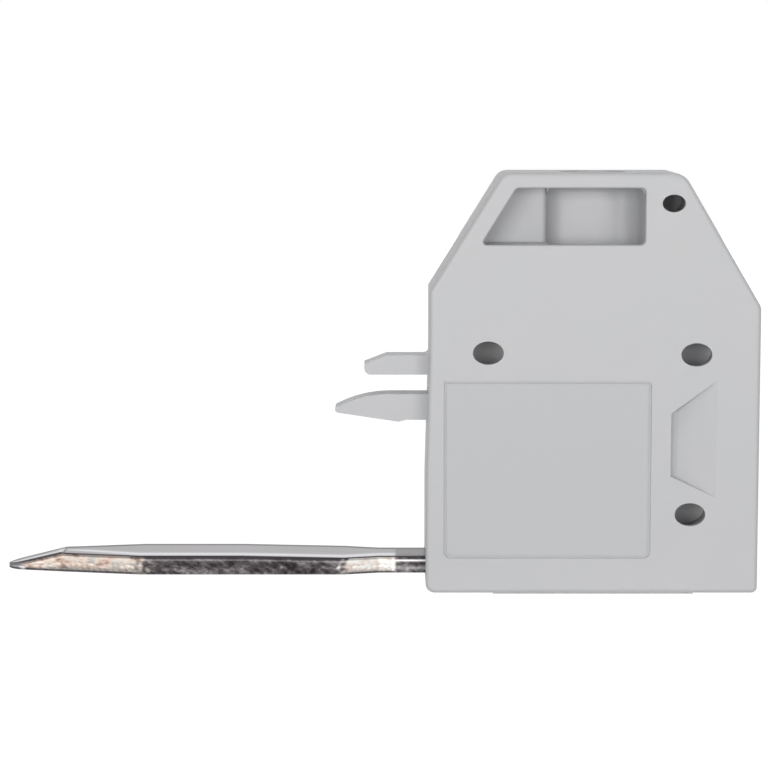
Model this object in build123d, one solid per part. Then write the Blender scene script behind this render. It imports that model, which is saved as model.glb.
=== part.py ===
from build123d import *
import os
from math import cos, radians, tan

# Tap-off terminal block: a narrow moulded block that plugs into a larger terminal with a flat
# blade and takes one branch conductor in a screw clamp. Millimetres, X from the blade side to
# the conductor side, Y from the cover to the rear wall, Z up from the foot. The clamp screw's
# axis is the Z axis.

# Block
body_length = 32.0
body_height = 41.0
body_thickness = 10.2
left_slant_height = 11.4
right_slant_height = 12.9
left_slant_deg = 31.8
right_slant_deg = 30.5
top_left_round = 1.3
top_right_round = 1.9
shoulder_round = 1.2
base_left_round = 0.85
base_right_round = 0.55
edge_round = 0.45
foot_length = 19.5
foot_step = 0.13

# Slight outward draft of the left wall round the blade
draft_top = 23.3
draft_bottom = 11.0
draft_out = 0.33

# Walls
cover_thickness = 1.2
rear_wall = 1.2
outer_wall = 1.5
top_wall = 1.45
floor_wall = 1.57
rib = 1.2
seam_chamfer = 0.1
fit_gap = 0.05
loose_gap = 0.15

# How far pieces of one moulding sink into each other, and how far a cutter runs past its wall
sink = 0.6
overrun = 1.2

# Tap blade and current bar, one stamped strip
bar_thickness = 1.7
blade_thickness = 1.9
blade_width = 7.1
neck_width = 5.1
blade_reach = 41.6
nose_width = 3.3
nose_length = 1.6
crease_width = 3.8
taper_length = 7.75
neck_start = 4.9
shoulder_taper = 3.4
thick_end = 18.4
ramp_length = 5.5
tip_thickness = 0.36
tip_lift = 0.2
bend_inside = 0.8
riser_inset = 2.4
bar_overhang = 1.3
blade_edge_round = 0.18

# Screw clamp
conductor_z = 15.0
clamp_opening = 6.8
sleeve_lift = 6.2
strip_thickness = 1.1
sleeve_length = 8.0
leaf_gap = 0.06
leaf_end_gap = 0.15
sleeve_corner = 1.5
ridge_height = 0.22
ridge_pitch = 1.5
ridge_count = 4
bar_play = 0.2
screw_diameter = 4.0
screw_tip_chamfer = 0.5
thread_play = 0.05
head_diameter = 7.0
head_height = 2.4
head_round = 0.4
head_play = 0.35
slot_width = 1.2
slot_depth = 1.3
bearing_gap = 0.05
end_gap = 0.3

# Driver hole, channel and conductor entry
driver_diameter = 6.4
ledge_thickness = 1.4
channel_left = -4.5
channel_right = 4.73
channel_back_wall = 1.7
channel_corner = 2.0
channel_ceiling_round = 0.8
wire_diameter = 5.6
funnel_diameter = 7.5
funnel_length = 5.5

# Window, with the wall left between it and the slanted shoulder, and the shallow pocket
# beside the channel
window_height = 5.45
window_wall = 1.82
window_round = 0.45
window_sharp_round = 0.3
window_edge_round = 0.2
pocket_depth = 5.0
pocket_lip_round = 0.5

# Cover pegs: distance from the nearer side wall, and height. Each stands deep in a wider
# socket behind a narrower oval mouth in the cover.
peg_left_inset = 5.67
peg_left_height = 23.67
peg_high_inset = 6.2
peg_high_height = 23.5
peg_low_inset = 6.67
peg_low_height = 7.89
peg_half_width = 2.35
peg_half_height = 2.1
peg_recess = 6.6
socket_mouth_half_width = 1.5
socket_mouth_half_height = 1.13
socket_lip = 0.8
socket_wall = 0.6
socket_length = 7.4

# Small deep hole by the top right corner, wider behind the cover: distance from the slant and
# from the top
pin_hole_inset = 2.3
pin_hole_drop = 2.9
pin_hole_half_width = 1.12
pin_hole_half_height = 0.85
pin_hole_step = 0.5
pin_hole_depth = 8.4

# Flat label field on the cover, with a fine groove round it
label_margin = 1.4
label_to_ramp = 1.89
label_bottom = 3.58
label_top = 20.95
label_depth = 0.1
label_high_round = 0.55
label_low_round = 0.7
label_clip = 0.45
label_groove_width = 0.28
label_groove_depth = 0.25

# Thumb ramp on the cover: where its deep end lies, how far it runs, and its four heights
ramp_inset = 8.6
ramp_run_high = 4.46
ramp_run_low = 4.32
ramp_right_high = 21.05
ramp_right_low = 9.59
ramp_left_high = 17.8
ramp_left_low = 11.63
ramp_depth = 1.45
ramp_flat = 0.65
ramp_pad = 0.75
ramp_pad_length = 3.8

# Two snap prongs on the left wall
prong_thickness = 3.4
guide_prong_reach = 6.34
guide_prong_bottom = 21.2
guide_prong_height = 1.9
guide_prong_slope = 2.2
guide_prong_drop = 0.85
guide_prong_round = 0.65
hook_prong_reach = 8.94
hook_prong_bottom = 16.74
hook_prong_height = 2.54
hook_prong_crown = 3.8
hook_prong_tip_top = 18.06
hook_prong_tip_low = 17.45
hook_nose = 0.26
hook_barb_reach = 3.02
hook_barb_back = 2.2
hook_barb_depth = 0.18
prong_root_round = 0.5

# Places worked out from the sizes above
half_length = body_length / 2
front = -body_thickness / 2
rear = body_thickness / 2
seam = front + cover_thickness
inner_rear = rear - rear_wall
base = foot_step
left_shoulder = body_height - left_slant_height
right_shoulder = body_height - right_slant_height
left_slant = tan(radians(left_slant_deg))
right_slant = tan(radians(right_slant_deg))
blade_bottom = base + floor_wall
blade_top = blade_bottom + bar_thickness
bar_under = conductor_z + clamp_opening / 2
bar_top = bar_under + bar_thickness
riser_left = -half_length + riser_inset
riser_right = riser_left + bar_thickness
sleeve_half = sleeve_length / 2
bar_end = sleeve_half + end_gap + bar_overhang
sleeve_inside = neck_width / 2 + 2 * fit_gap
sleeve_outside = sleeve_inside + strip_thickness
sleeve_floor_top = conductor_z - clamp_opening / 2
leaf_under = bar_top + bar_play
sleeve_top = leaf_under + 2 * strip_thickness + leaf_gap
screw_tip = bar_top + bearing_gap
head_under = sleeve_top + sleeve_lift + head_play
head_top = head_under + head_height
chamber_half = sleeve_half + end_gap
chamber_bottom = sleeve_floor_top - strip_thickness - end_gap
ledge_under = head_top + loose_gap
ledge_top = ledge_under + ledge_thickness
ceiling = body_height - top_wall
window_bottom = ceiling - window_height
ramp_left = half_length - ramp_inset
label_left = -half_length + label_margin
label_right = ramp_left - label_to_ramp
pegs = (
    (-half_length + peg_left_inset, peg_left_height),
    (half_length - peg_high_inset, peg_high_height),
    (half_length - peg_low_inset, peg_low_height),
)


def slab(sketch, y_front, y_rear):
    """Solid of a sketch drawn in X and Z, from y_front to y_rear."""
    return extrude(Plane.XZ.offset(-y_rear) * sketch, y_rear - y_front, dir=(0, -1, 0))


def block(x_low, x_high, y_low, y_high, z_low, z_high):
    """Box between two opposite corners."""
    size = (x_high - x_low, y_high - y_low, z_high - z_low)
    centre = ((x_low + x_high) / 2, (y_low + y_high) / 2, (z_low + z_high) / 2)
    return Pos(*centre) * Box(*size)


def polygon(*points):
    """Face inside a closed run of straight lines."""
    return make_face(Polyline(*points, close=True))


def rounded(sketch, *corners):
    """Sketch with each listed corner, a point and a radius, rounded."""
    for point, radius in corners:
        corner = sketch.vertices().sort_by_distance((*point, 0))[0]
        sketch = fillet(corner, radius)
    return sketch


def oval(place, half_width, half_height):
    """Ellipse standing at a place in X and Z."""
    return Pos(*place) * Ellipse(half_width, half_height)


def left_edge(z, inset=0.0):
    """X of the left slant at height z, moved in by inset."""
    return -half_length + (z - left_shoulder) * left_slant + inset / cos(radians(left_slant_deg))


def right_edge(z, inset=0.0):
    """X of the right slant at height z, moved in by inset."""
    return half_length - (z - right_shoulder) * right_slant - inset / cos(radians(right_slant_deg))


def outline():
    """Side outline of the block: a house shape with two slanted shoulders."""
    low_left = (-half_length - draft_out, base)
    low_right = (half_length, base)
    shoulder = (half_length, right_shoulder)
    top_right = (right_edge(body_height), body_height)
    top_left = (left_edge(body_height), body_height)
    shape = polygon(
        low_left,
        low_right,
        shoulder,
        top_right,
        top_left,
        (-half_length, left_shoulder),
        (-half_length, draft_top),
        (-half_length - draft_out, draft_bottom),
    )
    return rounded(
        shape,
        (low_left, base_left_round),
        (low_right, base_right_round),
        (shoulder, shoulder_round),
        (top_right, top_right_round),
        (top_left, top_left_round),
    )


def foot(y_front, y_rear):
    """Length of the low foot pad, sunk a little into the block."""
    return block(-foot_length / 2, foot_length / 2, y_front, y_rear, 0, base + sink)


def bar_side(gap=0.0):
    """Side view of the strip: thick blade with a wedge tip, riser and clamp bar, with both bends."""
    outside = bend_inside + bar_thickness
    tip = -half_length - blade_reach
    waist = -half_length - neck_start - shoulder_taper
    thick_top = blade_bottom + blade_thickness + gap
    low_bend = (riser_right + gap, blade_bottom - gap)
    high_bend = (riser_left - gap, bar_top + gap)
    low_inside = (riser_left - gap, blade_top + gap)
    high_inside = (riser_right + gap, bar_under - gap)
    shape = polygon(
        (tip + ramp_length, blade_bottom - gap),
        low_bend,
        high_inside,
        (bar_end + gap, bar_under - gap),
        (bar_end + gap, bar_top + gap),
        high_bend,
        low_inside,
        (waist, blade_top + gap),
        (-half_length - thick_end, thick_top),
        (tip + ramp_length, thick_top),
        (tip, blade_bottom + tip_lift + tip_thickness),
        (tip, blade_bottom + tip_lift),
    )
    return rounded(
        shape,
        (low_bend, outside),
        (high_bend, outside),
        (low_inside, bend_inside),
        (high_inside, bend_inside),
    )


def bar_plan():
    """Plan view of the strip: rounded nose, wedge, taper, full width, shoulder and neck."""
    tip = -half_length - blade_reach
    nose = tip + nose_length
    crease = tip + ramp_length
    full = crease + taper_length
    neck = -half_length - neck_start
    waist = neck - shoulder_taper
    half_nose = nose_width / 2
    half_crease = crease_width / 2
    half_blade = blade_width / 2
    half_neck = neck_width / 2
    side = Polyline(
        (nose, half_nose),
        (crease, half_crease),
        (full, half_blade),
        (waist, half_blade),
        (neck, half_neck),
        (bar_end + overrun, half_neck),
        (bar_end + overrun, -half_neck),
        (neck, -half_neck),
        (waist, -half_blade),
        (full, -half_blade),
        (crease, -half_crease),
        (nose, -half_nose),
    )
    round_nose = ThreePointArc((nose, -half_nose), (tip, 0), (nose, half_nose))
    return make_face(side + round_nose)


def tap_blade():
    """Stamped strip: its side view cut to its plan view, with the die's soft upper edges."""
    side = slab(bar_side(), -blade_width, blade_width)
    plan = extrude(bar_plan(), body_height)
    strip = side & plan
    outdoors = -half_length - neck_start / 2
    upper_faces = strip.faces().filter_by(
        lambda face: face.normal_at().Z > 0.9 and face.center().X < outdoors
    )
    side_edges = upper_faces.edges().filter_by(
        lambda edge: edge.center().X < outdoors and abs(edge.center().Y) > fit_gap
    )
    return fillet(side_edges, blade_edge_round)


def clamp_sleeve():
    """Strip folded into a ring round the bar, its two leaves lapped on top for the thread."""
    outer_height = sleeve_top - sleeve_floor_top + strip_thickness
    inner_height = leaf_under - sleeve_floor_top
    outer = RectangleRounded(2 * sleeve_outside, outer_height, sleeve_corner)
    inner = RectangleRounded(2 * sleeve_inside, inner_height, sleeve_corner - strip_thickness)
    outer = Pos(0, sleeve_top - outer_height / 2) * outer
    inner = Pos(0, leaf_under - inner_height / 2) * inner
    seam_bottom = leaf_under + strip_thickness
    lap = Pos(-strip_thickness / 2, seam_bottom + leaf_gap / 2)
    lap_width = 2 * sleeve_outside - strip_thickness
    between = lap * Rectangle(lap_width, leaf_gap)
    end_height = strip_thickness + leaf_gap
    end = Pos(sleeve_inside - leaf_end_gap / 2, leaf_under + end_height / 2)
    free_end = end * Rectangle(leaf_end_gap, end_height)
    corner_relief = Pos(sleeve_inside - leaf_end_gap / 2, leaf_under)
    relief = corner_relief * Rectangle(leaf_end_gap, strip_thickness)
    section = outer - inner - between - free_end - relief
    ring = extrude(Plane.YZ.offset(-sleeve_half) * section, sleeve_length, dir=(1, 0, 0))
    for index in range(ridge_count):
        place = (index - (ridge_count - 1) / 2) * ridge_pitch
        ring += gripping_ridge(place)
    hole = Cylinder(screw_diameter / 2 + thread_play, sleeve_top - leaf_under + 2 * overrun)
    return ring - Pos(0, 0, (leaf_under + sleeve_top) / 2) * hole


def gripping_ridge(place):
    """Low triangular ridge across the sleeve's floor that bites into the conductor."""
    ridge = polygon(
        (place - ridge_height, sleeve_floor_top - ridge_height / 2),
        (place + ridge_height, sleeve_floor_top - ridge_height / 2),
        (place, sleeve_floor_top + ridge_height),
    )
    reach = sleeve_inside - fit_gap
    return slab(ridge, -reach, reach)


def clamp_screw():
    """Cheese-head screw that stands on the bar and turns in the sleeve's leaves."""
    shank_radius = screw_diameter / 2
    head_radius = head_diameter / 2
    half = polygon(
        (0, screw_tip),
        (shank_radius - screw_tip_chamfer, screw_tip),
        (shank_radius, screw_tip + screw_tip_chamfer),
        (shank_radius, head_under),
        (head_radius, head_under),
        (head_radius, head_top),
        (0, head_top),
    )
    half = rounded(half, ((head_radius, head_top), head_round))
    turned = revolve(Plane.XZ * half, Axis.Z)
    slot = block(
        -head_diameter,
        head_diameter,
        -slot_width / 2,
        slot_width / 2,
        head_top - slot_depth,
        head_top + slot_depth,
    )
    return turned - slot


def window_left_side():
    """Low and high end of the window's left side, which leans with the block's slant."""
    low = (left_edge(window_bottom, window_wall), window_bottom)
    high = (left_edge(ceiling, window_wall), ceiling)
    return low, high


def window_shape():
    """Window in the cover, as wide at its right as the channel behind it."""
    bottom_left, top_left = window_left_side()
    bottom_right = (channel_right, window_bottom)
    top_right = (channel_right, ceiling)
    return rounded(
        polygon(bottom_left, bottom_right, top_right, top_left),
        (bottom_left, window_sharp_round),
        (bottom_right, window_round),
        (top_right, window_round),
        (top_left, window_round),
    )


def label_outline(inset=0.0):
    """Outline of the label field, with one clipped and two rounded corners, moved in by inset."""
    left = label_left + inset
    right = label_right - inset
    low = label_bottom + inset
    high = label_top - inset
    corners = polygon(
        (left, low + label_clip),
        (left + label_clip, low),
        (right, low),
        (right, high),
        (left, high),
    )
    return rounded(
        corners,
        ((right, low), label_low_round - inset),
        ((right, high), label_high_round - inset),
    )


def label_field():
    """Shallow flat field for a label and the deeper fine groove round it."""
    field = slab(label_outline(), front - overrun, front + label_depth)
    groove = label_outline() - label_outline(label_groove_width)
    return field + slab(groove, front - overrun, front + label_groove_depth)


def thumb_ramp():
    """Recess that starts deep at a short flat strip and climbs to the cover's face."""
    end = ramp_left + max(ramp_run_high, ramp_run_low)
    shape = polygon(
        (ramp_left, ramp_left_high),
        (ramp_left, ramp_left_low),
        (ramp_left + ramp_run_low, ramp_right_low),
        (ramp_left + ramp_run_high, ramp_right_high),
    )
    wedge = polygon(
        (ramp_left, front - overrun),
        (ramp_left, front + ramp_depth),
        (ramp_left + ramp_flat, front + ramp_depth),
        (end, front),
        (end, front - overrun),
    )
    wedge = extrude(wedge, body_height)
    return slab(shape, front - overrun, front + ramp_depth) & wedge


def ramp_backing(gap=0.0):
    """Thicker patch behind the deep end of the ramp."""
    low = ramp_left_low - rib
    high = ramp_left_high + rib
    start = ramp_left - ramp_pad
    return block(start - gap, start + ramp_pad_length + gap, seam, seam + ramp_pad + gap,
                 low - gap, high + gap)


def blade_tongue(gap=0.0):
    """Tongue of the cover that fills the open side of the blade's slot."""
    outside = -half_length - draft_out
    return block(outside, riser_left - fit_gap + gap, seam, -neck_width / 2 - fit_gap,
                 blade_bottom - gap, blade_top + gap)


def pin_hole(y_front, y_rear, step=0.0):
    """Small oval hole beside the right slant, wider all round by a step."""
    height = body_height - pin_hole_drop
    place = (right_edge(height, pin_hole_inset), height)
    shape = oval(place, pin_hole_half_width + step, pin_hole_half_height + step)
    return slab(shape, y_front, y_rear)


def sockets(gap=0.0):
    """Three oval collars behind the cover, one round each peg."""
    half_width = peg_half_width + socket_wall + gap
    half_height = peg_half_height + socket_wall + gap
    collars = [slab(oval(place, half_width, half_height), seam, seam + socket_length + gap)
               for place in pegs]
    return Part() + collars


def cover():
    """Front plate with window, label field, thumb ramp, peg sockets and blade tongue."""
    plate = slab(outline(), front, seam)
    plate = fillet(plate.faces().sort_by(Axis.Y)[0].outer_wire().edges(), edge_round)
    plate = chamfer(plate.faces().sort_by(Axis.Y)[-1].outer_wire().edges(), seam_chamfer)
    plate -= slab(window_shape(), front - overrun, seam + overrun)
    rim = plate.faces().sort_by(Axis.Y)[0].inner_wires()[0].edges()
    plate = fillet(rim, window_edge_round)
    plate += foot(front + edge_round, seam)
    plate += sockets() + ramp_backing() + blade_tongue()
    plate -= label_field() + thumb_ramp()
    for place in pegs:
        mouth = oval(place, socket_mouth_half_width, socket_mouth_half_height)
        bore = oval(place, peg_half_width, peg_half_height)
        plate -= slab(mouth, front - overrun, seam)
        plate -= slab(bore, front + socket_lip, seam + socket_length + overrun)
    return plate - pin_hole(front - overrun, seam + overrun)


def driver_channel():
    """Upright channel behind the window, with rounded corners at its back."""
    depth = rear - channel_back_wall - seam
    width = channel_right - channel_left
    middle = (channel_right + channel_left) / 2
    plan = Pos(middle, seam + depth / 2) * Rectangle(width, depth)
    plan = rounded(
        plan,
        ((channel_right, seam + depth), channel_corner),
        ((channel_left, seam + depth), channel_corner),
    )
    hollow = extrude(Pos(0, 0, ledge_top) * plan, ceiling - ledge_top)
    roof = hollow.faces().sort_by(Axis.Z)[-1].edges().filter_by(
        lambda edge: edge.center().Y > seam + fit_gap
    )
    return fillet(roof, channel_ceiling_round)


def window_pocket():
    """Shallower pocket at the left of the channel, whose lip rolls over into the channel."""
    bottom_left, top_left = window_left_side()
    shape = rounded(
        polygon(
            bottom_left,
            (channel_left + overrun, window_bottom),
            (channel_left + overrun, ceiling),
            top_left,
        ),
        (bottom_left, window_sharp_round),
        (top_left, window_round),
    )
    floor = front + pocket_depth
    lip_start = channel_left - pocket_lip_round
    corner = block(
        lip_start,
        channel_left,
        floor - fit_gap,
        floor + pocket_lip_round,
        window_bottom,
        ceiling,
    )
    roll = Pos(lip_start, floor + pocket_lip_round, ledge_top) * Cylinder(
        pocket_lip_round,
        body_height,
        align=(Align.CENTER, Align.CENTER, Align.MIN),
    )
    return slab(shape, seam, floor) + (corner - roll)


def clamp_chamber():
    """Space in which the sleeve rises and the screw's head turns."""
    return block(-chamber_half, chamber_half, seam, inner_rear, chamber_bottom, ledge_under)


def bar_groove():
    """Groove that takes the strip from the front."""
    groove = slab(bar_side(fit_gap), seam, neck_width / 2 + fit_gap)
    keep = block(-body_length, body_length, seam, rear, 0, body_height)
    return groove & keep


def cores():
    """Hollows that keep the moulding's walls even, all closed by the cover."""
    right_side = half_length - outer_wall
    chamber_left = -chamber_half - rib
    chamber_right = chamber_half + rib
    groove_right = riser_right + fit_gap + rib
    block_bottom = conductor_z - funnel_diameter / 2 - rib
    block_top = bar_top + fit_gap + rib
    roof_left = window_bottom - rib
    hole_low = body_height - pin_hole_drop - pin_hole_half_height - pin_hole_step
    roof_right = hole_low - rib
    top_left = left_edge(roof_left, outer_wall)
    top_right = right_edge(roof_right, outer_wall)
    wall_left = -half_length + outer_wall
    knee_left = left_shoulder + (wall_left - left_edge(left_shoulder, outer_wall)) / left_slant
    knee_right = right_shoulder - (right_side - right_edge(right_shoulder, outer_wall)) / right_slant
    low_left = block(groove_right, chamber_left, seam, inner_rear, blade_bottom, bar_under - rib)
    low = block(groove_right, right_side, seam, inner_rear, blade_bottom, chamber_bottom - rib)
    low_right = block(chamber_right, right_side, seam, inner_rear, blade_bottom, block_bottom)
    upper_left = slab(
        polygon(
            (wall_left, block_top),
            (chamber_left, block_top),
            (chamber_left, roof_left),
            (top_left, roof_left),
            (wall_left, knee_left),
        ),
        seam,
        inner_rear,
    )
    upper_right = slab(
        polygon(
            (chamber_right, block_top),
            (right_side, block_top),
            (right_side, knee_right),
            (top_right, roof_right),
            (chamber_right, roof_right),
        ),
        seam,
        inner_rear,
    )
    return low_left + low + low_right + upper_left + upper_right


def pegs_and_bosses():
    """Three oval pegs, each on a wider root that the cover's socket stops against."""
    root_front = seam + socket_length + loose_gap
    posts = []
    for place in pegs:
        root = oval(place, peg_half_width + socket_wall, peg_half_height + socket_wall)
        peg = oval(place, peg_half_width - fit_gap, peg_half_height - fit_gap)
        posts.append(slab(root, root_front, inner_rear + sink))
        posts.append(slab(peg, front + peg_recess, inner_rear + sink))
    return Part() + posts


def conductor_entry():
    """Round conductor hole whose mouth flares out to the right wall."""
    bore = wire_diameter / 2
    mouth = funnel_diameter / 2
    start = half_length - funnel_length
    flare = TangentArc((start, bore), (half_length, mouth), tangent=(1, 0))
    closing = Polyline(
        (half_length, mouth),
        (half_length + overrun, mouth),
        (half_length + overrun, 0),
        (chamber_half - overrun, 0),
        (chamber_half - overrun, bore),
        (start, bore),
    )
    profile = make_face(flare + closing)
    turned = revolve(profile, Axis.X)
    return Pos(0, 0, conductor_z) * turned


def driver_holes():
    """Holes in the top wall and in the ledge that keeps the screw's head down."""
    radius = driver_diameter / 2
    top = Cylinder(radius, top_wall + 2 * overrun)
    ledge = Cylinder(radius, ledge_thickness + 2 * overrun)
    return Pos(0, 0, ceiling + top_wall / 2) * top + Pos(0, 0, ledge_under + ledge_thickness / 2) * ledge


def guide_prong():
    """Upper prong: a straight tongue with a sloped and rounded end."""
    tip = -half_length - guide_prong_reach
    low = guide_prong_bottom
    high = low + guide_prong_height
    inside = -half_length + sink
    shape = polygon(
        (inside, low),
        (tip, low),
        (tip, high - guide_prong_drop),
        (tip + guide_prong_slope, high),
        (inside, high),
    )
    shape = rounded(shape, ((tip, low), guide_prong_round))
    return slab(shape, -prong_thickness / 2, prong_thickness / 2)


def hook_prong():
    """Lower prong: a crowned tongue that narrows to a nose, with a small barb below."""
    tip = -half_length - hook_prong_reach
    inside = -half_length + sink
    low = hook_prong_bottom
    high = low + hook_prong_height
    crown = -half_length - hook_prong_crown
    back = TangentArc((crown, high), (tip, hook_prong_tip_top), tangent=(-1, 0))
    nose_middle = (tip - hook_nose, (hook_prong_tip_top + hook_prong_tip_low) / 2)
    nose = ThreePointArc((tip, hook_prong_tip_top), nose_middle, (tip, hook_prong_tip_low))
    rest = Polyline(
        (tip, hook_prong_tip_low),
        (-half_length - hook_barb_reach, low - hook_barb_depth),
        (-half_length - hook_barb_back, low),
        (inside, low),
        (inside, high),
        (crown, high),
    )
    return slab(make_face(back + nose + rest), -prong_thickness / 2, prong_thickness / 2)


def prong_gusset():
    """Small concave web where the upper prong leaves the wall."""
    wall = -half_length
    high = guide_prong_bottom + guide_prong_height
    corner = polygon(
        (wall + fit_gap, high - fit_gap),
        (wall + fit_gap, high + prong_root_round),
        (wall, high + prong_root_round),
        (wall - prong_root_round, high),
        (wall - prong_root_round, high - fit_gap),
    )
    hollow = Pos(wall - prong_root_round, high + prong_root_round) * Circle(prong_root_round)
    return slab(corner - hollow, -prong_thickness / 2, prong_thickness / 2)


def housing():
    """Main moulding: rear wall, outer walls, ribs, pegs and prongs, open towards the cover."""
    shell = slab(outline(), seam, rear)
    shell = fillet(shell.faces().sort_by(Axis.Y)[-1].outer_wire().edges(), edge_round)
    shell = chamfer(shell.faces().sort_by(Axis.Y)[0].outer_wire().edges(), seam_chamfer)
    shell -= cores()
    shell += foot(seam, rear - edge_round)
    shell += pegs_and_bosses()
    shell -= driver_channel() + window_pocket()
    shell -= clamp_chamber()
    shell -= sockets(loose_gap) - pegs_and_bosses()
    shell -= conductor_entry()
    shell -= driver_holes()
    shell -= pin_hole(seam - overrun, front + pin_hole_depth, pin_hole_step)
    shell += guide_prong() + hook_prong() + prong_gusset()
    shell -= bar_groove()
    shell -= blade_tongue(fit_gap)
    return shell - ramp_backing(fit_gap)


def write(name, solid, hue):
    """Write one piece under its own name."""
    piece = Part() + solid
    piece.label = name
    piece.color = Color(*hue)
    export_step(piece, os.path.join("parts", name + ".step"))


def main():
    grey = (0.58, 0.585, 0.6)
    tinned = (0.72, 0.71, 0.69)
    zinc = (0.66, 0.67, 0.69)
    os.makedirs("parts", exist_ok=True)
    write("housing", housing(), grey)
    write("cover", cover(), grey)
    write("tap_blade", tap_blade(), tinned)
    write("clamp_sleeve", clamp_sleeve(), zinc)
    write("clamp_screw", clamp_screw(), zinc)


main()
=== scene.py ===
import math

import bmesh
import bpy
import numpy as np
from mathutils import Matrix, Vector


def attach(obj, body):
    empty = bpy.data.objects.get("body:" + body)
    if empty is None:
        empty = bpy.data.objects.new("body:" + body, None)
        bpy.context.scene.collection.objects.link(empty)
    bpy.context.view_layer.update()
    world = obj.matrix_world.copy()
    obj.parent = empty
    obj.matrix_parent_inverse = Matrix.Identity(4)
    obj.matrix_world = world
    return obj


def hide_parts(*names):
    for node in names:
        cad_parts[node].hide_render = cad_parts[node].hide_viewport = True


# Tap-off terminal block: finishes, the stamped blade with its sheared edges, the threaded clamp
# screw, and a plain studio. Lengths are in millimetres up to the meshes, which are in metres.

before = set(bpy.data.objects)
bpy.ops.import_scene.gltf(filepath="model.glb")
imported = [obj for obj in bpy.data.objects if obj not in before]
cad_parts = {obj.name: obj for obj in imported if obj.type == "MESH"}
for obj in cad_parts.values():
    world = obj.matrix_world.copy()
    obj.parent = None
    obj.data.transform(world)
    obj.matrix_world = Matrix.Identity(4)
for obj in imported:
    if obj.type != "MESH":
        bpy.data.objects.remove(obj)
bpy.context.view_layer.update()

MM = 0.001
MERGE_DISTANCE = 0.0005

# Stamped tap blade, with its length along x
BLADE_TIP = -57.6
BLADE_BOTTOM = 1.7
STRIP_THICKNESS = 1.7
BLADE_THICKNESS = 1.9
BLADE_WIDTH = 7.1
NECK_WIDTH = 5.1
NOSE_WIDTH = 3.3
NOSE_LENGTH = 1.6
CREASE = -52.1
CREASE_WIDTH = 3.8
TAPER_END = -44.35
THICK_END = -34.4
WAIST_START = -24.3
NECK_START = -20.9
TIP_THICKNESS = 0.36
TIP_LIFT = 0.2
BEND_RADIUS = 1.65
LOW_BEND = (-14.4, 4.2)
HIGH_BEND = (-11.1, 17.6)
BAR_END = 5.6
WALL = -16.4
BLADE_SHARP_DEG = 40

# Points along each stretch of the strip, and along each side of its section
NOSE_STEPS = 18
BLADE_STEPS = 400
WALL_STEPS = 8
BEND_STEPS = 14
RISER_STEPS = 12
BAR_STEPS = 20
SIDE_STEPS = 22
ROLL_STEPS = 16
FLAT_STEPS = 22
UNDER_STEPS = 18

# Roll that the die leaves on the blade's upper edges
DIE_ROLL_WIDTH = 1.0
DIE_ROLL_DROP = 0.15
NARROW_ROLL_SHARE = 0.45
FULL_ROLL_THICKNESS = 1.0

# Torn lower part of the sheared sides. Each wave has its length and its seed.
SHEAR_ROUGHNESS = 0.022
BREAK_SHARE = 0.62
BREAK_FADE = 0.12
TEAR_MEAN = 1.1
COARSE_TEAR = (0.42, 11)
FINE_TEAR = (0.16, 12)
FINE_TEAR_SHARE = 0.7
WAVE_COUNT = 28
WAVE_SPREAD = (0.6, 1.6)

# Milled faces: where they end, how far they fade, and the wave that moves their ends
MILLED_END = -19.4
NOSE_MARK_END = BLADE_TIP + 1.2 * NOSE_LENGTH
NOSE_FADE = 0.8
WEDGE_FADE = 0.2
TAPER_FADE = 1.5
WAIST_FADE = 0.9
NECK_FADE = 0.25
END_WAVE = (0.9, 21)
END_WAVE_SHARE = 0.55

# Painted highlight: a bright line painted inside the front edge, its distance from that edge and
# its half width
PAINTED_HIGHLIGHT_IN = 0.9
PAINTED_HIGHLIGHT_AT_CREASE = 1.9
PAINTED_HIGHLIGHT_HALF_WIDTH = 0.6
FRONT_FADE = 0.5
WEDGE_PAINTED_SHINE = 0.3

# Painted edge shade, dark lines painted along the top's and the sides' edges where shade falls:
# widths, fades and strengths
FRONT_RIM = 0.3
WEDGE_RIM = 0.75
REAR_RIM = 1.5
TOP_RIM_FADE = 0.12
REAR_RIM_STRENGTH = 0.75
SIDE_RIM = 0.23
SIDE_RIM_FADE = 0.06
SIDE_RIM_LOSS_WAIST = 0.5
SIDE_RIM_LOSS_TAPER = 0.35
SIDE_RIM_LOSS_NECK = 0.5
LOW_RIM = 0.24
LOW_RIM_FADE = 0.08
LOW_RIM_STRENGTH = 0.9
NOSE_RIM_STRENGTH = 0.25
NECK_RIM_STRENGTH = 0.45

# Painted shade on the foot of the milled faces, darker low down, as a share of the side's height
LOW_SHADE_HEIGHT = 0.4
LOW_SHADE_FADE = 0.2
LOW_SHADE_TAPER = 0.85
LOW_SHADE_WAIST = 0.75

# Painted highlights and painted shade that follow a bell curve, one also a faint real band that
# the shear burnishes: strength, place and half width
PAINTED_CREASE_GLINT = (0.9, -0.35, 0.45)
CREASE_PAINTED_SHADE = (0.75, 0.12, 0.12)
FAINT_BURNISH_HIGHLIGHT = (0.13, 0.32, 0.07)
NECK_BURNISH_HIGHLIGHT = (0.95, 0.33, 0.085)
NECK_PAINTED_GLEAM = (0.25, 0.3, 0.12)
MILLED_EDGE_HIGHLIGHT = (0.8, -0.1, 0.12)

# Clamp screw, M4 with a cheese head
SCREW_TIP = 20.15
SCREW_RADIUS = 2.0
SCREW_PLAY = 0.02
THREAD_PITCH = 0.7
THREAD_DEPTH = 0.4
THREAD_CREST = 0.12
THREAD_FLANK = 0.76
THREAD_RUNOUT = 0.5
TIP_CHAMFER = 0.5
HEAD_UNDER = 29.11
HEAD_TOP = 31.51
HEAD_RADIUS = 3.5
HEAD_ROUND = 0.4
SHANK_IN_HEAD = 0.2
SLOT_WIDTH = 1.2
SLOT_DEPTH = 1.3
SHANK_SHARP_DEG = 50
HEAD_SHARP_DEG = 35

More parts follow.
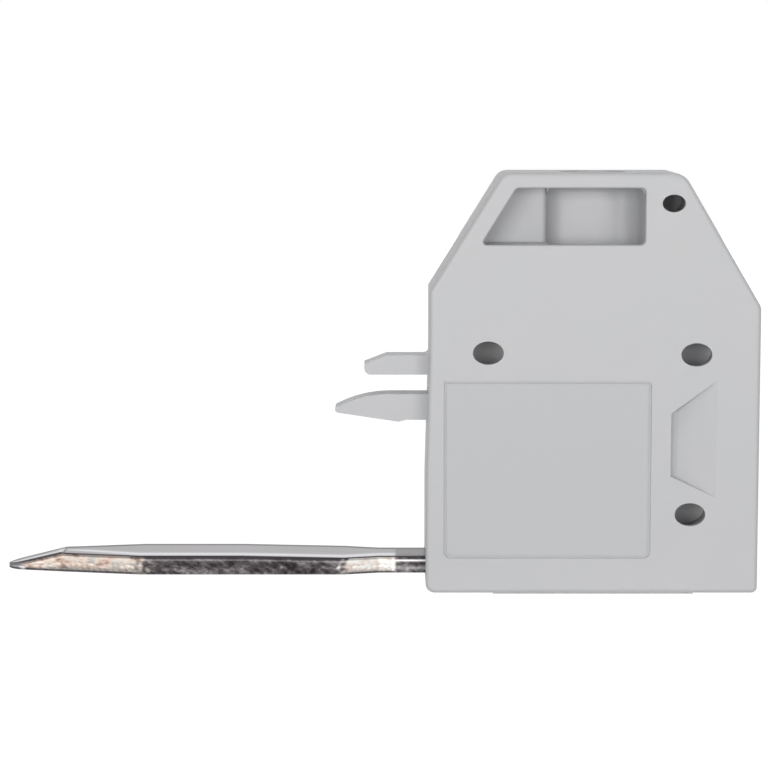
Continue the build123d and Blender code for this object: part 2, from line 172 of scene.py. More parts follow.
# Points along and round the shank, and along each stretch of the head's section
SHANK_STEPS = 170
SHANK_AROUND = 64
HEAD_STEPS = 61
HEAD_WALL_STEPS = 22
HEAD_WALL_CROWDING = 0.6
LAND_STEPS = 7
SLOT_WALL_STEPS = 6
SLOT_FLOOR_STEPS = 7
HEAD_UNDER_STEPS = 9

# Label field on the cover, sunk by a tenth of a millimetre: left, right, bottom and top
LABEL_FIELD = (-14.5, 5.45, 3.7, 20.85)

# Patterns: blotches to a millimetre, detail and roughness of the noise
GREY_DRIFT = (0.16, 2.0, 0.5)
GREY_SATIN = (1.1, 3.0, 0.5)
GREY_GRAIN = (9.0, 4.0, 0.5)
TIN_STREAKS = (1.2, 2.5, 0.5)
TORN_STREAKS = (1.9, 4.0, 0.6)
COPPER_PATCHES = (1.1, 3.5, 0.55)
ZINC_GRAIN = (3.0, 6.0, 0.5)
ZINC_PATCHES = (1.3, 3.0, 0.5)

# Draw of each pattern along x, y and z, where a smaller share is a longer streak
EVEN = (1.0, 1.0, 1.0)
TIN_DRAW = (0.1, 1.0, 1.0)
TORN_DRAW = (0.5, 1.0, 1.0)
TORN_SLANT_DEG = 25.0
COPPER_DRAW = (0.6, 1.0, 1.0)
SLEEVE_DRAW = (0.15, 1.0, 1.0)
SCREW_DRAW = (1.0, 1.0, 0.3)

# Colours in linear red, green and blue, by place along the pattern where there are several
GREY_TINTS = ((0.3, (0.562, 0.571, 0.583)), (0.7, (0.578, 0.571, 0.583)))
LABEL_GREY = (0.545, 0.55, 0.563)
TIN_TINTS = ((0.3, (0.46, 0.445, 0.46)), (0.7, (0.53, 0.515, 0.53)))
# Painted highlight: near-white tin where a bright line and glints are painted on the top
PAINTED_HIGHLIGHT_TIN = (0.96, 0.96, 0.99)
# Torn fracture, its near-black tones partly painted dark reflection
TORN_TINTS_AND_PAINTED_REFLECTION = (
    (0.34, (0.024, 0.020, 0.021)),
    (0.52, (0.078, 0.070, 0.073)),
    (0.68, (0.17, 0.155, 0.155)),
)
COPPER_TINTS = (
    (0.34, (0.12, 0.08, 0.06)),
    (0.41, (0.36, 0.27, 0.22)),
    (0.48, (0.53, 0.42, 0.36)),
    (0.56, (0.55, 0.50, 0.45)),
    (0.66, (0.40, 0.37, 0.34)),
)
# Painted shade: darker copper for the lower part of the milled faces
COPPER_IN_PAINTED_SHADE = (0.20, 0.19, 0.18)
CREAM_TINTS = ((0.4, (0.58, 0.49, 0.43)), (0.52, (0.68, 0.66, 0.63)))
# Painted shade: darker cream for the lower part of the milled faces
CREAM_IN_PAINTED_SHADE = (0.33, 0.28, 0.26)
# Painted highlight: near-white for the band that the shear burnishes and for bright lines on the
# neck
BURNISH_HIGHLIGHT = (0.85, 0.84, 0.84)
# Painted shade: near-black for dark lines painted along the blade's edges, crease, nose and neck
PAINTED_EDGE_SHADE = (0.04, 0.036, 0.041)
METAL_EDGE_TINT = (0.72, 0.72, 0.72, 1.0)
ZINC_TINTS = ((0.3, (0.56, 0.57, 0.60)), (0.7, (0.72, 0.73, 0.75)))

# Shader roughness by place along the pattern, and relief by strength and depth
GREY_ROUGHNESS = ((0.3, 0.42), (0.7, 0.5))
GREY_RELIEF = (0.25, 0.006)
GREY_IOR = 1.5
TIN_ROUGHNESS = ((0.3, 0.24), (0.7, 0.34))
TORN_ROUGHNESS = ((0.35, 0.62), (0.7, 0.42))
BLADE_RELIEF = (0.35, 0.02)
ZINC_ROUGHNESS = ((0.3, 0.24), (0.7, 0.4))
ZINC_RELIEF = (0.3, 0.01)

# Camera: long lens, its eye a little above the block, tipped down at the block's middle height
CAMERA_PLACE = (-20.4, -257.5, 49.6)
CAMERA_PITCH = 6.537
CAMERA_LENS = 123.24
CAMERA_SENSOR = 36.0
CAMERA_CLIP_M = (0.01, 100.0)

# Studio: ambient light, floor, and softboxes by name, place, aim, size and power
AMBIENT = 0.26
FLOOR_REACH_M = 40.0
FLOOR_GREY = 0.86
FLOOR_GLOW = 0.95
FLOOR_SHADE = 0.2
FRONT_SOFTBOXES = (
    ("key", (-200, -567, 75), (-10, 0, 20), (245, 150), 1.13),
    ("fill", (155, -574, 75), (-10, 0, 20), (230, 150), 0.78),
    ("overhead", (-10, -150, 300), (-10, 0, 20), (140, 90), 0.13),
)
BACK_SOFTBOX = ("back", (0, 590, 140), (0, 0, 20), (300, 150), 1.5)


def finish_material(name):
    """New material with its node tree and its Principled shader."""
    material = bpy.data.materials.new(name)
    material.use_nodes = True
    tree = material.node_tree
    return material, tree, tree.nodes["Principled BSDF"]


def feed(tree, slot, value):
    """Link another node's socket to a slot, or set a number or colour on the slot."""
    if isinstance(value, bpy.types.NodeSocket):
        tree.links.new(value, slot)
    else:
        slot.default_value = value


def worked_out(tree, operation, *terms):
    """Result of one sum on sockets and numbers."""
    node = tree.nodes.new("ShaderNodeMath")
    node.operation = operation
    for slot, term in zip(node.inputs, terms):
        feed(tree, slot, term)
    return node.outputs[0]


def object_pattern(tree, draw=EVEN, slant_deg=0.0):
    """Object coordinates in millimetres, turned about y and then drawn out along each axis."""
    coordinates = tree.nodes.new("ShaderNodeTexCoord")
    mapping = tree.nodes.new("ShaderNodeMapping")
    mapping.vector_type = "TEXTURE"
    mapping.inputs["Rotation"].default_value = (0.0, math.radians(slant_deg), 0.0)
    mapping.inputs["Scale"].default_value = [MM / share for share in draw]
    tree.links.new(coordinates.outputs["Object"], mapping.inputs["Vector"])
    return mapping.outputs["Vector"]


def noise(tree, vector, scale, detail, roughness):
    """Smooth noise from 0 to 1 with so many blotches to a millimetre."""
    node = tree.nodes.new("ShaderNodeTexNoise")
    node.inputs["Scale"].default_value = scale
    node.inputs["Detail"].default_value = detail
    node.inputs["Roughness"].default_value = roughness
    tree.links.new(vector, node.inputs["Vector"])
    return node.outputs["Fac"]


def ramp(tree, factor, stops):
    """Colour or grey that follows a factor through stops of place and colour."""
    node = tree.nodes.new("ShaderNodeValToRGB")
    band = node.color_ramp
    while len(band.elements) < len(stops):
        band.elements.new(0.5)
    for element, (place, colour) in zip(band.elements, stops):
        element.position = place
        element.color = (*colour, 1.0) if isinstance(colour, tuple) else (colour,) * 3 + (1.0,)
    tree.links.new(factor, node.inputs["Fac"])
    return node.outputs["Color"]


def mixed(tree, factor, low, high):
    """Mix of two colours or sockets: the first at a factor of 0, the second at 1."""
    node = tree.nodes.new("ShaderNodeMix")
    node.data_type = "RGBA"
    colour_slots = [slot for slot in node.inputs if slot.type == "RGBA"]
    for slot, value in zip(colour_slots, (low, high)):
        feed(tree, slot, (*value, 1.0) if isinstance(value, tuple) else value)
    factors = [slot for slot in node.inputs if slot.name == "Factor" and slot.type == "VALUE"]
    tree.links.new(factor, factors[0])
    return [slot for slot in node.outputs if slot.type == "RGBA"][0]


def bump(tree, shader, height, strength, depth):
    """Fine relief from a height, depth in millimetres."""
    node = tree.nodes.new("ShaderNodeBump")
    node.inputs["Strength"].default_value = strength
    node.inputs["Distance"].default_value = depth * MM
    tree.links.new(height, node.inputs["Height"])
    tree.links.new(node.outputs["Normal"], shader.inputs["Normal"])


def inside_label_field(tree, vector):
    """Share that is 1 inside the label field and 0 outside, from object coordinates.

    On each axis the distance from the field's middle is compared with half the field's length,
    and the two answers are multiplied.
    """
    parts = tree.nodes.new("ShaderNodeSeparateXYZ")
    tree.links.new(vector, parts.inputs[0])
    left, right, bottom, top = LABEL_FIELD
    answers = []
    for axis, low, high in (("X", left, right), ("Z", bottom, top)):
        away = worked_out(tree, "SUBTRACT", parts.outputs[axis], (low + high) / 2)
        answers.append(worked_out(tree, "COMPARE", away, 0.0, (high - low) / 2))
    return worked_out(tree, "MULTIPLY", *answers)


def moulded_grey(name, with_label_field):
    """Light grey moulded plastic: spark-eroded satin with a faint warm and cool drift.

    The label field is a shade darker.
    """
    material, tree, shader = finish_material(name)
    vector = object_pattern(tree)
    tint = ramp(tree, noise(tree, vector, *GREY_DRIFT), GREY_TINTS)
    if with_label_field:
        tint = mixed(tree, inside_label_field(tree, vector), tint, LABEL_GREY)
    tree.links.new(tint, shader.inputs["Base Color"])
    satin = ramp(tree, noise(tree, vector, *GREY_SATIN), GREY_ROUGHNESS)
    tree.links.new(satin, shader.inputs["Roughness"])
    shader.inputs["IOR"].default_value = GREY_IOR
    bump(tree, shader, noise(tree, vector, *GREY_GRAIN), *GREY_RELIEF)
    return material


def surface_mark(tree, name):
    """Share from 0 to 1 that the blade's own mesh carries under a name."""
    node = tree.nodes.new("ShaderNodeAttribute")
    node.attribute_name = name
    return node.outputs["Fac"]


def tinned_copper():
    """Tin over copper alloy.

    Rolled faces are mid grey, with a painted highlight: a bright line inside the front edge and
    glints at the crease. Sheared sides are torn, and their near-black tones are partly painted
    dark reflection. Milled faces are tin worn to warm copper, paler near the block and darker low
    down with painted shade. Painted shade darkens the edges, the crease, the nose and the neck's
    top, and the band that the shear burnishes is painted near-white as a highlight.
    """
    material, tree, shader = finish_material("tinned_copper_strip")
    shader.inputs["Metallic"].default_value = 1.0
    shader.inputs["Specular Tint"].default_value = METAL_EDGE_TINT
    # These marks carry real finishes and painted light: highlights, edge shade in the rim mark,
    # and shade low down
    names = ("sheared", "milled", "pale", "painted_low_shade", "painted_highlight", "rim", "burnish_and_highlight")
    mark = {name: surface_mark(tree, name) for name in names}
    streaks = noise(tree, object_pattern(tree, TIN_DRAW), *TIN_STREAKS)
    torn = noise(tree, object_pattern(tree, TORN_DRAW, TORN_SLANT_DEG), *TORN_STREAKS)
    patches = noise(tree, object_pattern(tree, COPPER_DRAW), *COPPER_PATCHES)
    # Painted highlight: the rolled top turns near-white along the painted bright line and glints
    rolled = mixed(tree, mark["painted_highlight"], ramp(tree, streaks, TIN_TINTS), PAINTED_HIGHLIGHT_TIN)
    # Painted shade: the milled copper and cream go darker low down
    copper = mixed(tree, mark["painted_low_shade"], ramp(tree, patches, COPPER_TINTS), COPPER_IN_PAINTED_SHADE)
    cream = mixed(tree, mark["painted_low_shade"], ramp(tree, patches, CREAM_TINTS), CREAM_IN_PAINTED_SHADE)
    milled = mixed(tree, mark["pale"], copper, cream)
    # Sheared sides: torn fracture whose near-black tones are partly painted dark reflection
    edge = mixed(tree, mark["milled"], ramp(tree, torn, TORN_TINTS_AND_PAINTED_REFLECTION), milled)
    # Painted highlight: the band below the sheared edge that the shear burnishes, painted
    # near-white
    edge = mixed(tree, mark["burnish_and_highlight"], edge, BURNISH_HIGHLIGHT)
    colour = mixed(tree, mark["sheared"], rolled, edge)
    # Painted shade: the edges, the crease, the nose and the neck's top turn near-black
    colour = mixed(tree, mark["rim"], colour, PAINTED_EDGE_SHADE)
    tree.links.new(colour, shader.inputs["Base Color"])
    face_gloss = ramp(tree, streaks, TIN_ROUGHNESS)
    edge_gloss = ramp(tree, torn, TORN_ROUGHNESS)
    gloss = mixed(tree, mark["sheared"], face_gloss, edge_gloss)
    tree.links.new(gloss, shader.inputs["Roughness"])
    bump(tree, shader, mixed(tree, mark["sheared"], streaks, torn), *BLADE_RELIEF)
    return material


def zinc_plate(name, draw):
    """Zinc-plated steel with a fine draw grain and dull patches."""
    material, tree, shader = finish_material(name)
    shader.inputs["Metallic"].default_value = 1.0
    grain = noise(tree, object_pattern(tree, draw), *ZINC_GRAIN)
    tree.links.new(ramp(tree, grain, ZINC_TINTS), shader.inputs["Base Color"])
    gloss = ramp(tree, noise(tree, object_pattern(tree), *ZINC_PATCHES), ZINC_ROUGHNESS)
    tree.links.new(gloss, shader.inputs["Roughness"])
    bump(tree, shader, grain, *ZINC_RELIEF)
    return material


def rise(distance, width):
    """Distance over width, held between 0 and 1."""
    return np.clip(distance / width, 0, 1)


def bell(distance, strength, place, half_width):
    """Strength times e to the minus square of the distance from the place in half widths."""
    return strength * np.exp(-((distance - place) / half_width) ** 2)


def wave_noise(a, b, wave, seed):
    """Sum of sine waves over a and b in random directions, mostly between -1 and 1.

    Each wave's length is the given one times a random share, and each has a random phase.
    """
    source = np.random.default_rng(seed)
    total = np.zeros(np.broadcast(a, b).shape)
    for _ in range(WAVE_COUNT):
        angle = source.uniform(0, 2 * math.pi)
        length = wave * source.uniform(*WAVE_SPREAD)
        phase = source.uniform(0, 2 * math.pi)
        total += np.sin(2 * math.pi * (a * math.cos(angle) + b * math.sin(angle)) / length + phase)
    return total / math.sqrt(2 * WAVE_COUNT)


def grid_piece(name, rows, sharp_deg, marks=None):
    """Mesh through a grid of points in millimetres whose rows are closed rings.

    Row i and row i+1 are joined by quads round the ring, and each end ring gets a fan to its own
    centre. Marks are one array each, as large as the grid.
    """
    count, around, _ = rows.shape
    index = np.arange(count * around).reshape(count, around)
    following = np.roll(index, -1, axis=1)
    quads = np.stack([index[:-1], following[:-1], following[1:], index[1:]], axis=-1)
    faces = quads.reshape(-1, 4).tolist()
    first = np.full(around, count * around)
    faces += np.stack([first, following[0], index[0]], axis=-1).tolist()
    faces += np.stack([first + 1, index[-1], following[-1]], axis=-1).tolist()
    points = np.vstack([rows.reshape(-1, 3), rows[0].mean(axis=0), rows[-1].mean(axis=0)])
    mesh = bpy.data.meshes.new(name)
    mesh.from_pydata((points * MM).tolist(), [], faces)
    for label, values in (marks or {}).items():
        shares = np.concatenate([values.reshape(-1), np.zeros(2)]).astype(np.float32)
        mesh.attributes.new(label, "FLOAT", "POINT").data.foreach_set("value", shares)
    mesh.polygons.foreach_set("use_smooth", np.ones(len(mesh.polygons), dtype=bool))
    mesh.set_sharp_from_angle(angle=math.radians(sharp_deg))
    mesh.update()
    piece = bpy.data.objects.new(name, mesh)
    bpy.context.scene.collection.objects.link(piece)
    return piece


def strip_stations():
    """Stations along the strip's middle line: x, z and heading.

    The line is a straight run, a quarter circle up, a straight riser, a quarter circle level and
    a straight bar. A point of a quarter circle lies off its centre by the radius times the sine
    and the cosine of the angle turned so far. The nose's stations crowd at the tip, where their
    distance from it is the nose's length times 1 less the cosine of evenly spaced angles.
    """
    middle = BLADE_BOTTOM + STRIP_THICKNESS / 2
    level = HIGH_BEND[1] + BEND_RADIUS
    nose_turn = np.linspace(0, math.pi / 2, NOSE_STEPS)
    nose = BLADE_TIP + NOSE_LENGTH * (1 - np.cos(nose_turn))
    blade = np.linspace(BLADE_TIP + NOSE_LENGTH, WALL, BLADE_STEPS)[1:]
    indoors = np.linspace(WALL, LOW_BEND[0], WALL_STEPS)[1:]
    run = np.concatenate([nose, blade, indoors])
    turn = np.linspace(0, math.pi / 2, BEND_STEPS)[1:]
    riser = np.linspace(LOW_BEND[1], HIGH_BEND[1], RISER_STEPS)[1:]
    bar = np.linspace(HIGH_BEND[0], BAR_END, BAR_STEPS)[1:]
    x = np.concatenate([
        run,
        LOW_BEND[0] + BEND_RADIUS * np.sin(turn),
        np.full(riser.shape, LOW_BEND[0] + BEND_RADIUS),
        HIGH_BEND[0] - BEND_RADIUS * np.cos(turn),
        bar,
    ])
    z = np.concatenate([
        np.full(run.shape, middle),
        LOW_BEND[1] - BEND_RADIUS * np.cos(turn),
        riser,
        HIGH_BEND[1] + BEND_RADIUS * np.sin(turn),
        np.full(bar.shape, level),
    ])
    heading = np.concatenate([
        np.zeros(run.shape),
        turn,
        np.full(riser.shape, math.pi / 2),
        math.pi / 2 - turn,
        np.zeros(bar.shape),
    ])
    return x, z, heading


def strip_widths(x):
    """Half width at each station: round nose, wedge, taper, full width, waist and neck.

    The nose is an arc through the tip. Its radius is the sum of the squares of the nose's half
    width and length, over twice the length, and its half width is the root of the radius squared
    less the remaining distance to the centre squared. From there straight lines join the widths
    at the named places.
    """
    nose_half = NOSE_WIDTH / 2
    nose_radius = (nose_half ** 2 + NOSE_LENGTH ** 2) / (2 * NOSE_LENGTH)
    gone = np.clip(x - BLADE_TIP, 0, NOSE_LENGTH)
    round_nose = np.sqrt(np.maximum(nose_radius ** 2 - (nose_radius - gone) ** 2, 0))
    places = [BLADE_TIP + NOSE_LENGTH, CREASE, TAPER_END, WAIST_START, NECK_START]
    widths = [NOSE_WIDTH, CREASE_WIDTH, BLADE_WIDTH, BLADE_WIDTH, NECK_WIDTH]
    return np.where(x < places[0], round_nose, np.interp(x, places, widths) / 2)


def strip_marks(x, half, across, above, shoulder, side_share, low):
    """Shares of the blade's finishes and painted light at each point of its grid.

    Milled faces lie where the plan tapers, and a sum of sine waves moves their ends to and fro.
    The painted highlight, a bright line, runs at a distance inside the front edge, and the
    painted highlight of the band that the shear burnishes at a distance below the sheared edge,
    each as a bell curve across itself. Painted shade covers the outermost stretch of the top, the
    highest and lowest stretches of the sides, and the foot of the milled faces.
    """
    x = x[:, None]
    inward = half - np.abs(across)
    below = shoulder - above
    height = (above - low) / (shoulder - low)
    rear = across > 0
    on_side = np.broadcast_to(side_share, across.shape)
    on_top = (1 - on_side) * (above >= shoulder)

    front = rise(-across, FRONT_FADE)
    neck = rise(x - MILLED_END, NECK_FADE)
    wedge = rise(CREASE - x, WEDGE_FADE)
    nose = rise(NOSE_MARK_END - x, NOSE_FADE)
    wander = END_WAVE_SHARE * wave_noise(x, above, *END_WAVE)
    taper = np.clip(0.5 + (TAPER_END - x) / TAPER_FADE + wander, 0, 1) * (1 - nose)
    waist = np.clip(0.5 + (x - WAIST_START) / WAIST_FADE + wander, 0, 1) * (1 - neck)
    milled = np.maximum(taper, waist)

    # Painted highlight, standing in for light that the die roll and the crease reflect
    highlight_in = np.interp(x, [CREASE, TAPER_END], [PAINTED_HIGHLIGHT_AT_CREASE, PAINTED_HIGHLIGHT_IN])
    highlight_in = highlight_in + (PAINTED_HIGHLIGHT_IN - PAINTED_HIGHLIGHT_AT_CREASE) * wedge
    line = bell(inward, 1.0, highlight_in, PAINTED_HIGHLIGHT_HALF_WIDTH) * front * (1 - neck)
    painted_glint = bell(x - CREASE, *PAINTED_CREASE_GLINT)
    painted_highlight = np.maximum(np.maximum(line, painted_glint), WEDGE_PAINTED_SHINE * wedge) * on_top

    # Painted shade: dark lines along the top's edges, the crease, the sides' upper and lower
    # edges, the nose and the neck's top
    top_width = np.where(rear, REAR_RIM, FRONT_RIM + (WEDGE_RIM - FRONT_RIM) * wedge)
    top_strength = np.where(rear, REAR_RIM_STRENGTH, 1)
    top_edge_shade = rise(top_width - inward, TOP_RIM_FADE) * top_strength * on_top
    crease_shade = bell(x - CREASE, *CREASE_PAINTED_SHADE) * on_top
    side_edge_shade = rise(SIDE_RIM - below, SIDE_RIM_FADE) * on_side
    side_edge_shade = side_edge_shade * (1 - SIDE_RIM_LOSS_WAIST * waist)
    side_edge_shade = side_edge_shade * (1 - SIDE_RIM_LOSS_TAPER * np.maximum(taper, wedge))
    side_edge_shade = side_edge_shade * (1 - SIDE_RIM_LOSS_NECK * neck)
    low_edge_shade = LOW_RIM_STRENGTH * rise(LOW_RIM - (above - low), LOW_RIM_FADE)
    low_edge_shade = low_edge_shade * on_side * np.maximum(milled, nose)
    nose_shade = NOSE_RIM_STRENGTH * nose * on_side
    neck_shade = NECK_RIM_STRENGTH * neck * on_top
    painted_shades = np.broadcast_arrays(top_edge_shade, crease_shade, side_edge_shade, low_edge_shade, nose_shade, neck_shade)

    # Painted shade on the lower part of the milled sides
    painted_low_shade = rise(LOW_SHADE_HEIGHT - height, LOW_SHADE_FADE) * on_side
    painted_low_shade = painted_low_shade * np.maximum(LOW_SHADE_TAPER * taper, LOW_SHADE_WAIST * waist)

    # Painted highlights: the faint band that the shear burnishes, brighter lines on the neck, and
    # a line at the milled end
    burnish_highlights = np.broadcast_arrays(
        bell(below, *FAINT_BURNISH_HIGHLIGHT),
        bell(below, *NECK_BURNISH_HIGHLIGHT) * neck,
        bell(height, *NECK_PAINTED_GLEAM) * neck,
        bell(x - MILLED_END, *MILLED_EDGE_HIGHLIGHT),
    )
    return {
        "sheared": on_side * (1 - nose),
        "milled": milled,
        "pale": 1.0 * (x > THICK_END) * on_side,
        "painted_low_shade": painted_low_shade,
        "painted_highlight": painted_highlight,
        # The rim mark is painted edge shade
        "rim": np.max(painted_shades, axis=0),
        "burnish_and_highlight": np.max(burnish_highlights, axis=0) * on_side,
    }


def tap_blade():
    """The stamped strip as one ring carried along the strip's middle line.

    The ring has a flat underside, two sheared sides, and an upper side whose edges are drawn
    down by the die: at a share s of the roll's width from the edge the drop is the roll's drop
    times (1 - s) cubed. The lower part of each side is torn: sine waves push it in and out.
    The blade is thickest along its middle and thins to a wedge whose underside rises a little.
    """
    x, z, heading = strip_stations()
    half = strip_widths(x)[:, None]
    places = [BLADE_TIP, CREASE, THICK_END, WAIST_START]
    depths = [TIP_THICKNESS, BLADE_THICKNESS, BLADE_THICKNESS, STRIP_THICKNESS]
    thick = np.interp(x, places, depths)[:, None]
    lift = np.interp(x, [BLADE_TIP, CREASE], [TIP_LIFT, 0])[:, None]
    low = lift - STRIP_THICKNESS / 2
    top = low + thick

    side = np.linspace(0, 1, SIDE_STEPS)
    roll = np.linspace(0, 1, ROLL_STEPS)[1:]
    flat = np.linspace(-1, 1, FLAT_STEPS)[1:-1]
    under = np.linspace(1, -1, UNDER_STEPS)[1:-1]
    roll_width = np.minimum(DIE_ROLL_WIDTH, NARROW_ROLL_SHARE * half)
    drop = DIE_ROLL_DROP * np.minimum(roll_width / DIE_ROLL_WIDTH, 1)
    drop = drop * np.minimum(thick / FULL_ROLL_THICKNESS, 1)
    shoulder = top - drop
    rolled = top - drop * (1 - roll) ** 3
    wall = low + (shoulder - low) * side
    across = np.hstack([
        -half * np.ones_like(side),
        -half + roll_width * roll,
        (half - roll_width) * flat,
        (half - roll_width * roll)[:, ::-1],
        half * np.ones_like(side),
        half * under,
    ])
    above = np.hstack([
        wall,
        rolled,
        top * np.ones_like(flat),
        rolled[:, ::-1],
        wall[:, ::-1],
        low * np.ones_like(under),
    ])

    no_upper = np.zeros(2 * roll.size + flat.size)
    no_under = np.zeros(under.size)
    full = np.ones(side.size)
    side_share = np.concatenate([full, no_upper, full, no_under])
    torn = rise(BREAK_SHARE - side, BREAK_FADE) * (side > 0)
    torn_share = np.concatenate([torn, no_upper, torn[::-1], no_under])
    marks = strip_marks(x, half, across, above, shoulder, side_share, low)
    waves = wave_noise(x[:, None], above, *COARSE_TEAR)
    waves = waves + FINE_TEAR_SHARE * wave_noise(x[:, None], above, *FINE_TEAR)
    depth = SHEAR_ROUGHNESS * np.minimum(2 * half / NOSE_WIDTH, 1)
    across = across - np.sign(across) * torn_share * depth * (TEAR_MEAN + waves)
    points = np.stack([
        x[:, None] - above * np.sin(heading)[:, None],
        across,
        z[:, None] + above * np.cos(heading)[:, None],
    ], axis=-1)
    return grid_piece("tap_blade_strip", points, BLADE_SHARP_DEG, marks)


def screw_shank():
    """Threaded shank as rings up the screw's axis.

    The radius at angle a and height z is the thread's outer radius less its depth times a 60
    degree tooth, read at z less one pitch a turn. The thread fades out below the head, and a
    cone cuts it at the tip, where the radius grows by as much as the height.
    """
    z = np.linspace(SCREW_TIP, HEAD_UNDER + SHANK_IN_HEAD, SHANK_STEPS)[:, None]
    a = np.linspace(0, 2 * math.pi, SHANK_AROUND, endpoint=False)[None, :]
    turn = ((z - SCREW_TIP) / THREAD_PITCH - a / (2 * math.pi)) % 1.0
    tooth = rise(np.abs(2 * turn - 1) - THREAD_CREST, THREAD_FLANK)
    fade = rise(HEAD_UNDER - THREAD_RUNOUT - z, THREAD_RUNOUT)
    radius = SCREW_RADIUS - THREAD_DEPTH * tooth * fade - SCREW_PLAY
    radius = np.minimum(radius, SCREW_RADIUS - TIP_CHAMFER + (z - SCREW_TIP))
    points = np.stack([radius * np.cos(a), radius * np.sin(a), z + 0 * a], axis=-1)
    return grid_piece("clamp_screw_shank", points, SHANK_SHARP_DEG)


def screw_head():
    """Slotted cheese head as sections across the slot, carried along it.

    At distance x from the axis the section's half width at height z is the half chord of the
    head's circle there, whose radius shrinks over the rounded rim. The slot's two walls and
    floor lie in the same section.
    """
    turn = np.linspace(-math.pi / 2, math.pi / 2, HEAD_STEPS)
    x = HEAD_RADIUS * np.sin(turn)[:, None]
    reach = np.clip(np.abs(x) - (HEAD_RADIUS - HEAD_ROUND), 0, HEAD_ROUND)
    rim = HEAD_TOP - HEAD_ROUND + np.sqrt(np.maximum(HEAD_ROUND ** 2 - reach ** 2, 0))
    floor = HEAD_TOP - SLOT_DEPTH
    chord = np.sqrt(np.maximum(HEAD_RADIUS ** 2 - x ** 2, 0))
    slot = np.minimum(SLOT_WIDTH / 2, chord)
    rim = np.where(chord <= SLOT_WIDTH / 2, floor, rim)

    share = np.linspace(0, 1, HEAD_WALL_STEPS)[None, :] ** HEAD_WALL_CROWDING
    wall_z = HEAD_UNDER + (rim - HEAD_UNDER) * share
    gone = np.clip(wall_z - (HEAD_TOP - HEAD_ROUND), 0, HEAD_ROUND)
    radius = HEAD_RADIUS - HEAD_ROUND + np.sqrt(HEAD_ROUND ** 2 - gone ** 2)
    wall_y = np.sqrt(np.maximum(radius ** 2 - x ** 2, 0))
    inwards = np.linspace(0, 1, LAND_STEPS)[None, 1:]
    land_y = np.maximum(wall_y[:, -1:] + (slot - wall_y[:, -1:]) * inwards, slot)
    land_z = rim * np.ones_like(land_y)
    down = np.linspace(0, 1, SLOT_WALL_STEPS)[None, 1:]
    slot_y = slot * np.ones_like(down)
    slot_z = rim + (floor - rim) * down
    floor_y = slot * np.linspace(1, -1, SLOT_FLOOR_STEPS)[None, 1:-1]
    floor_z = floor + 0 * floor_y
    under_y = -wall_y[:, :1] * np.linspace(1, -1, HEAD_UNDER_STEPS)[None, 1:-1]
    under_z = HEAD_UNDER + 0 * under_y

    half_y = np.hstack([wall_y, land_y, slot_y])
    half_z = np.hstack([wall_z, land_z, slot_z])
    ring_y = np.hstack([half_y, floor_y, -half_y[:, ::-1], under_y])
    ring_z = np.hstack([half_z, floor_z, half_z[:, ::-1], under_z])
    points = np.stack([x + 0 * ring_y, ring_y, ring_z], axis=-1)[::-1]
    return grid_piece("clamp_screw_head", points, HEAD_SHARP_DEG)


def tidy(piece):
    """Merge doubled points and turn all faces outwards."""
    work = bmesh.new()
    work.from_mesh(piece.data)
    bmesh.ops.remove_doubles(work, verts=work.verts, dist=MERGE_DISTANCE * MM)
    bmesh.ops.recalc_face_normals(work, faces=work.faces)
    work.to_mesh(piece.data)
    work.free()
    return piece


def dress():
    """Finish every piece and put the modelled blade and screw in place of their solids."""
    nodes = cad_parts
    finishes = {
        "housing": moulded_grey("moulded_grey_housing", False),
        "cover": moulded_grey("moulded_grey_cover", True),
        "clamp_sleeve": zinc_plate("zinc_plated_sleeve", SLEEVE_DRAW),
    }
    for name, finish in finishes.items():
        nodes[name].data.materials.clear()
        nodes[name].data.materials.append(finish)
    blade = tidy(tap_blade())
    blade.data.materials.append(tinned_copper())
    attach(blade, "block")
    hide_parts("tap_blade")
    zinc = zinc_plate("zinc_plated_screw", SCREW_DRAW)
    shank = tidy(screw_shank())
    head = tidy(screw_head())
    for piece in (shank, head):
        piece.data.materials.append(zinc)
        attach(piece, "screw")
        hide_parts("clamp_screw")


def for_rays(tree, *kinds):
    """Share that is 1 for rays of the given kinds and 0 for others: the largest of them."""
    paths = tree.nodes.new("ShaderNodeLightPath")
    share = paths.outputs[kinds[0]]
    for kind in kinds[1:]:
        share = worked_out(tree, "MAXIMUM", share, paths.outputs[kind])
    return share


def white_surroundings():
    """World that lights weakly, and is white to the camera, in reflections and through glass."""
    world = bpy.data.worlds.new("studio_world")
    bpy.context.scene.world = world
    world.use_nodes = True
    tree = world.node_tree
    background = tree.nodes["Background"]
    background.inputs["Color"].default_value = (1.0, 1.0, 1.0, 1.0)
    seen = for_rays(tree, "Is Camera Ray", "Is Glossy Ray", "Is Transmission Ray")
    strength = tree.nodes.new("ShaderNodeMapRange")
    strength.inputs["To Min"].default_value = AMBIENT
    strength.inputs["To Max"].default_value = 1.0
    tree.links.new(seen, strength.inputs["Value"])
    tree.links.new(strength.outputs["Result"], background.inputs["Strength"])


def matt(tree, grey):
    """Matt shader of one grey."""
    node = tree.nodes.new("ShaderNodeBsdfDiffuse")
    node.inputs["Color"].default_value = (grey, grey, grey, 1.0)
    return node.outputs[0]


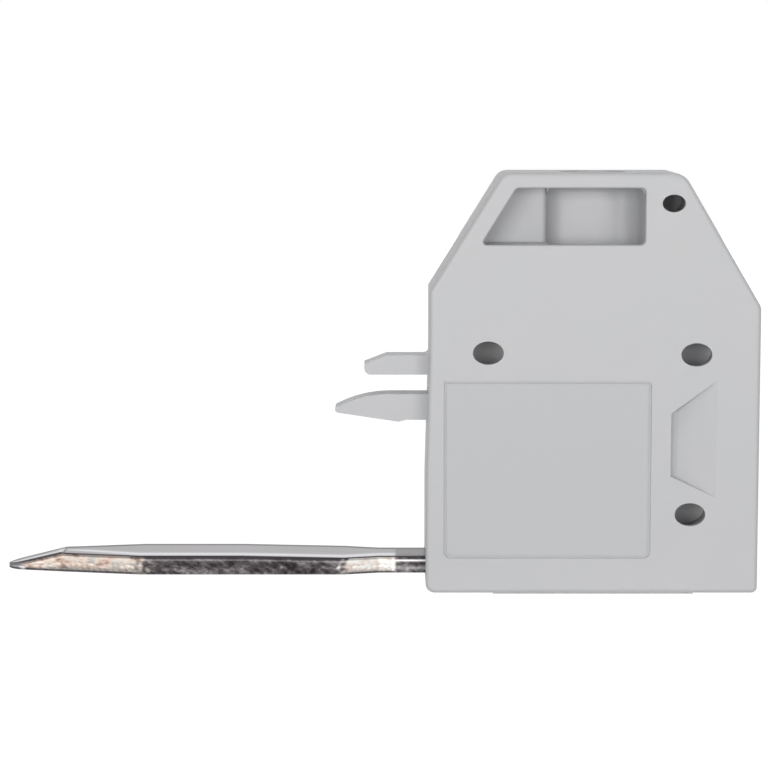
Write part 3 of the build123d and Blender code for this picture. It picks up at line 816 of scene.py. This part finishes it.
def floor_finish():
    """Pale floor that is white to the camera and in reflections, and keeps a soft shadow."""
    material = bpy.data.materials.new("pale_floor")
    material.use_nodes = True
    tree = material.node_tree
    tree.nodes.remove(tree.nodes["Principled BSDF"])
    glow = tree.nodes.new("ShaderNodeEmission")
    glow.inputs["Strength"].default_value = FLOOR_GLOW
    bright = tree.nodes.new("ShaderNodeAddShader")
    tree.links.new(matt(tree, FLOOR_SHADE), bright.inputs[0])
    tree.links.new(glow.outputs[0], bright.inputs[1])
    blend = tree.nodes.new("ShaderNodeMixShader")
    tree.links.new(for_rays(tree, "Is Camera Ray", "Is Glossy Ray"), blend.inputs["Fac"])
    tree.links.new(matt(tree, FLOOR_GREY), blend.inputs[1])
    tree.links.new(bright.outputs[0], blend.inputs[2])
    tree.links.new(blend.outputs[0], tree.nodes["Material Output"].inputs["Surface"])
    return material


def pale_floor():
    """Level square under the part."""
    reach = FLOOR_REACH_M
    corners = [(-reach, -reach, 0), (reach, -reach, 0), (reach, reach, 0), (-reach, reach, 0)]
    mesh = bpy.data.meshes.new("studio_floor")
    mesh.from_pydata(corners, [], [(0, 1, 2, 3)])
    mesh.materials.append(floor_finish())
    floor = bpy.data.objects.new("studio_floor", mesh)
    bpy.context.scene.collection.objects.link(floor)


def softbox(name, place, aim, size, power):
    """Rectangular area lamp that looks at a point and isn't seen itself."""
    lamp = bpy.data.lights.new(name, "AREA")
    lamp.shape = "RECTANGLE"
    lamp.size = size[0] * MM
    lamp.size_y = size[1] * MM
    lamp.energy = power
    holder = bpy.data.objects.new(name, lamp)
    bpy.context.scene.collection.objects.link(holder)
    away = (Vector(place) - Vector(aim)) * MM
    holder.location = Vector(place) * MM
    holder.rotation_euler = away.to_track_quat("Z", "Y").to_euler()
    holder.visible_camera = False
    return holder


def photo_camera():
    """Camera at the photograph's viewing angle."""
    lens = bpy.data.cameras.new("photo_camera")
    lens.lens = CAMERA_LENS
    lens.sensor_width = CAMERA_SENSOR
    lens.clip_start, lens.clip_end = CAMERA_CLIP_M
    camera = bpy.data.objects.new("photo_camera", lens)
    bpy.context.scene.collection.objects.link(camera)
    camera.location = [value * MM for value in CAMERA_PLACE]
    camera.rotation_euler = (math.radians(90 - CAMERA_PITCH), 0, 0)
    bpy.context.scene.camera = camera


def studio():
    """White surroundings, pale floor, soft lamps and the camera."""
    bpy.context.scene.view_settings.view_transform = "Standard"
    white_surroundings()
    pale_floor()
    for box in FRONT_SOFTBOXES:
        softbox(*box)
    softbox(*BACK_SOFTBOX).visible_glossy = False
    photo_camera()


dress()
studio()
